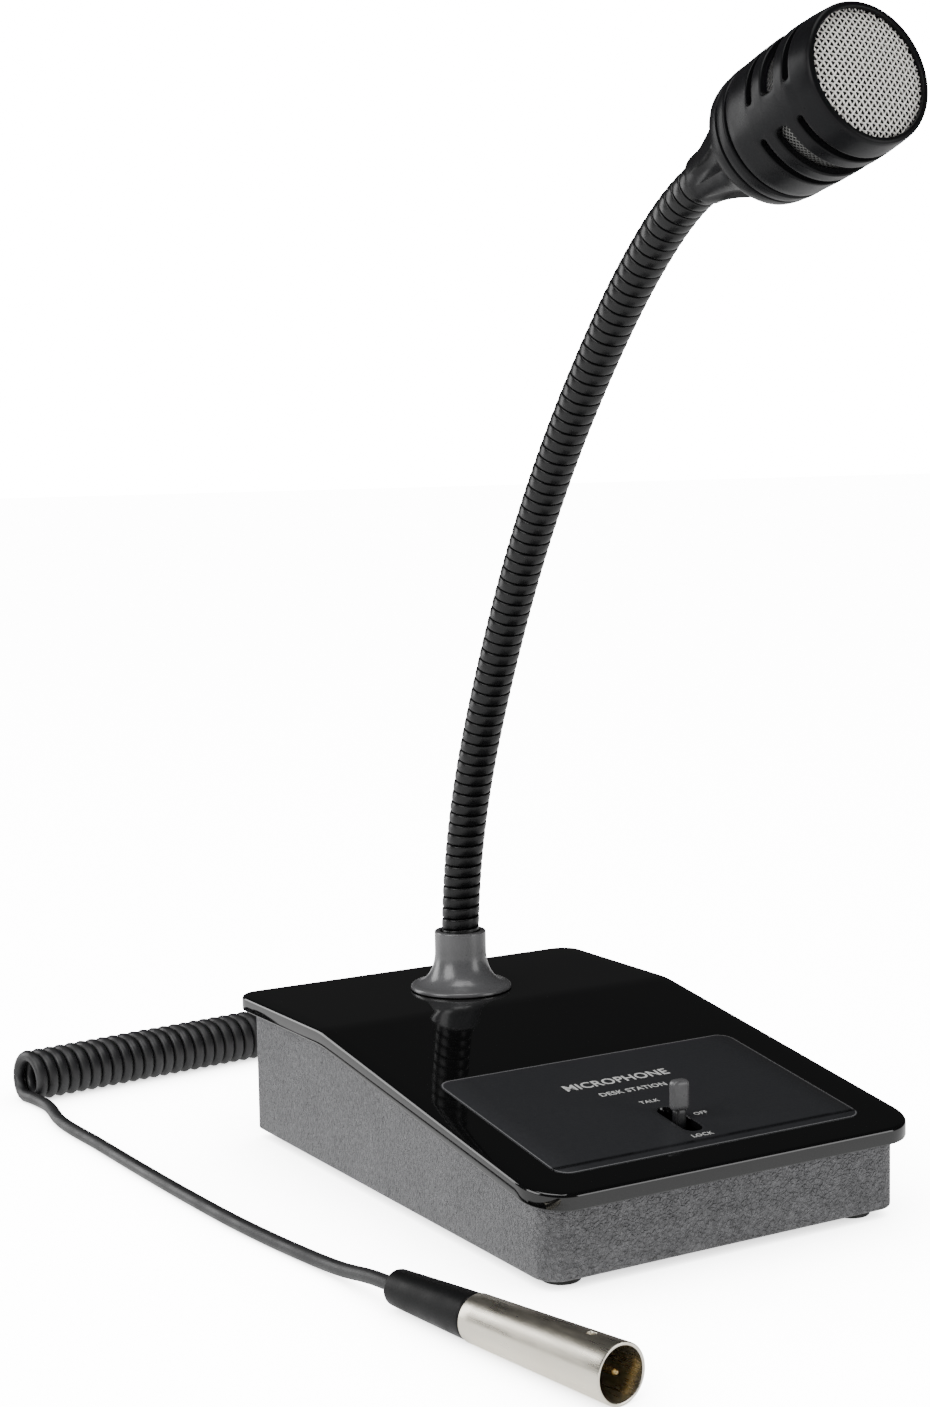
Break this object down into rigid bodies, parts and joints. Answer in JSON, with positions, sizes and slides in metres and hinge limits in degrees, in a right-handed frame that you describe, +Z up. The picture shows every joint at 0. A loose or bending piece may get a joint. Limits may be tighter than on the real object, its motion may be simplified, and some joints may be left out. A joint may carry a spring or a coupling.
{
  "type": "gooseneck desk microphone",
  "caption": "Desk paging microphone: wedge base with a talk/lock lever switch, a bendable gooseneck, a slotted head and a curly cord with a three-pin plug.",
  "frame": {"origin": "on the desk, under the middle of the overall box of the base, neck and head, without the cord and plug", "axes": "+Z up; +Y from the switch end towards the back of the base, so the head faces -Y; +X to the right seen from the front"},
  "size_m": [0.2213, 0.4425, 0.4083],
  "materials": {
    "gloss_black": "near-black high gloss",
    "grained_black": "charcoal, fine leather grain",
    "matt_black": "satin black",
    "label_black": "matt black film",
    "satin_black_metal": "satin black",
    "black_rubber": "matt black",
    "steel": "zinc-plated",
    "brass": "bright",
    "woven_steel": "woven wire",
    "foam": "open-cell acoustic foam",
    "nickel": "satin nickel plate",
    "board_green": "solder mask",
    "terminal_green": "moulded"
  },
  "bodies": {
    "base": {"top_cover": "gloss_black", "lower_housing": "grained_black", "control_label": "label_black", "switch_body": "matt_black", "lever_pin": "steel", "switch_bracket": "steel", "switch_screw_front": "steel", "switch_screw_rear": "steel", "ballast_plate": "steel", "ballast_screw_left": "steel", "ballast_screw_right": "steel", "standoff_left": "brass", "standoff_right": "brass", "board_screw_left": "steel", "board_screw_right": "steel", "circuit_board": "board_green", "output_transformer": "steel", "terminal_block": "terminal_green", "neck_collar": "satin_black_metal", "neck_stud": "steel", "lock_washer": "steel", "stud_nut": "steel", "cord_gland": "black_rubber", "cord_lead": "black_rubber", "cord_coil": "black_rubber", "cord_tail": "black_rubber", "plug_boot": "black_rubber", "plug_shell": "nickel", "plug_insert": "matt_black", "plug_pin_1": "brass", "plug_pin_2": "brass", "plug_pin_3": "brass", "foot_front_left": "black_rubber", "cover_screw_front_left": "steel", "foot_front_right": "black_rubber", "cover_screw_front_right": "steel", "foot_rear_left": "black_rubber", "cover_screw_rear_left": "steel", "foot_rear_right": "black_rubber", "cover_screw_rear_right": "steel", "neck_segment_1": "satin_black_metal"},
    "neck_1": {"neck_segment_2": "satin_black_metal"},
    "neck_2": {"neck_segment_3": "satin_black_metal"},
    "neck_3": {"neck_segment_4": "satin_black_metal"},
    "neck_4": {"neck_segment_5": "satin_black_metal"},
    "neck_5": {"neck_segment_6": "satin_black_metal"},
    "neck_6": {"neck_segment_7": "satin_black_metal"},
    "neck_7": {"neck_segment_8": "satin_black_metal"},
    "neck_8": {"neck_segment_9": "satin_black_metal", "head_barrel": "matt_black", "clamp_ring": "matt_black", "head_rear_cap": "matt_black", "front_grille": "woven_steel", "grille_retainer": "matt_black", "front_foam": "foam", "slot_screen": "woven_steel", "mic_capsule": "steel", "capsule_shock_ring": "black_rubber"},
    "lever": {"switch_lever": "matt_black", "lever_paddle": "satin_black_metal"}
  },
  "joints": [
    {"name": "neck_bend_1_fore", "type": "hinge", "parent": "base", "child": "neck_1", "pos_m": [0, 0.10616, 0.09823], "axis": [1, 0, 0], "range_deg": [-10, 10]},
    {"name": "neck_bend_2_side", "type": "hinge", "parent": "neck_1", "child": "neck_2", "pos_m": [0, 0.09768, 0.13727], "axis": [0, 0.9566, 0.2913], "range_deg": [-10, 10]},
    {"name": "neck_bend_3_fore", "type": "hinge", "parent": "neck_2", "child": "neck_3", "pos_m": [0, 0.08367, 0.17472], "axis": [1, 0, 0], "range_deg": [-10, 10]},
    {"name": "neck_bend_4_side", "type": "hinge", "parent": "neck_3", "child": "neck_4", "pos_m": [0, 0.0667, 0.21093], "axis": [0, 0.8926, 0.4508], "range_deg": [-10, 10]},
    {"name": "neck_bend_5_fore", "type": "hinge", "parent": "neck_4", "child": "neck_5", "pos_m": [0, 0.04737, 0.24594], "axis": [1, 0, 0], "range_deg": [-10, 10]},
    {"name": "neck_bend_6_side", "type": "hinge", "parent": "neck_5", "child": "neck_6", "pos_m": [0, 0.02523, 0.27924], "axis": [0, 0.8085, 0.5885], "range_deg": [-10, 10]},
    {"name": "neck_bend_7_fore", "type": "hinge", "parent": "neck_6", "child": "neck_7", "pos_m": [0, 0.00039, 0.31058], "axis": [1, 0, 0], "range_deg": [-10, 10]},
    {"name": "neck_bend_8_side", "type": "hinge", "parent": "neck_7", "child": "neck_8", "pos_m": [0, -0.02723, 0.33947], "axis": [0, 0.6728, 0.7398], "range_deg": [-10, 10]},
    {"name": "switch_rock", "type": "hinge", "parent": "base", "child": "lever", "pos_m": [0, -0.04369, 0.0223], "axis": [1, 0, 0], "range_deg": [-16, 16]}
  ],
  "couplings": [
    {"joint": "neck_bend_3_fore", "follows": "neck_bend_1_fore", "ratio": 1},
    {"joint": "neck_bend_4_side", "follows": "neck_bend_2_side", "ratio": 1},
    {"joint": "neck_bend_5_fore", "follows": "neck_bend_1_fore", "ratio": 1},
    {"joint": "neck_bend_6_side", "follows": "neck_bend_2_side", "ratio": 1},
    {"joint": "neck_bend_7_fore", "follows": "neck_bend_1_fore", "ratio": 1},
    {"joint": "neck_bend_8_side", "follows": "neck_bend_2_side", "ratio": 1}
  ]
}
